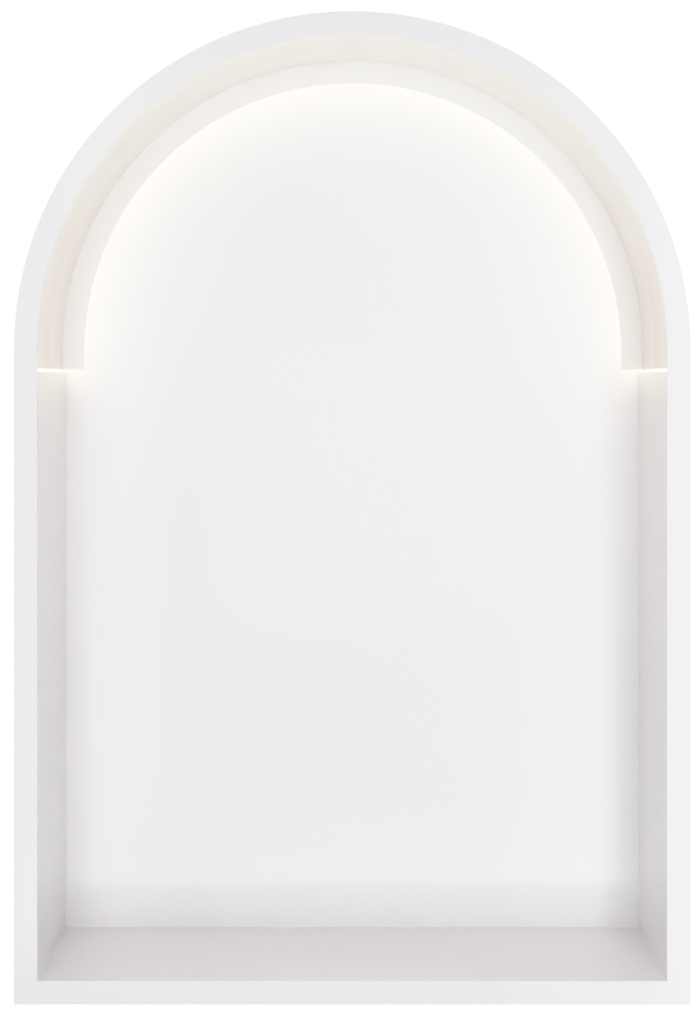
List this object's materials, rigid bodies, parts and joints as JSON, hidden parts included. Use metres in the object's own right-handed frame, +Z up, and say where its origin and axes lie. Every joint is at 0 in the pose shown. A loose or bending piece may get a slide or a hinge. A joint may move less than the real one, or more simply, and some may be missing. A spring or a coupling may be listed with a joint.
{
  "type": "recessed wall niche",
  "caption": "Arched white sheet-steel wall niche with a flat rim and a hidden light cove that washes its arched top.",
  "frame": {"origin": "on the wall's face, in the middle of the rim's back contact band below the opening", "axes": "+X to the right, +Y into the wall, +Z up; the niche opens towards -Y"},
  "size_m": [0.43, 0.106, 0.6315],
  "materials": {
    "body_coating": "semi-gloss white polyester powder coat",
    "cove_coating": "semi-gloss white polyester powder coat",
    "opal_sleeve": "opal silicone sleeve, lit from within, warm white",
    "grommet_rubber": "moulded matt black rubber"
  },
  "bodies": {
    "root": {"niche_body": "body_coating", "light_cove": "cove_coating", "led_strip": "opal_sleeve", "cable_grommet": "grommet_rubber"}
  },
  "joints": []
}
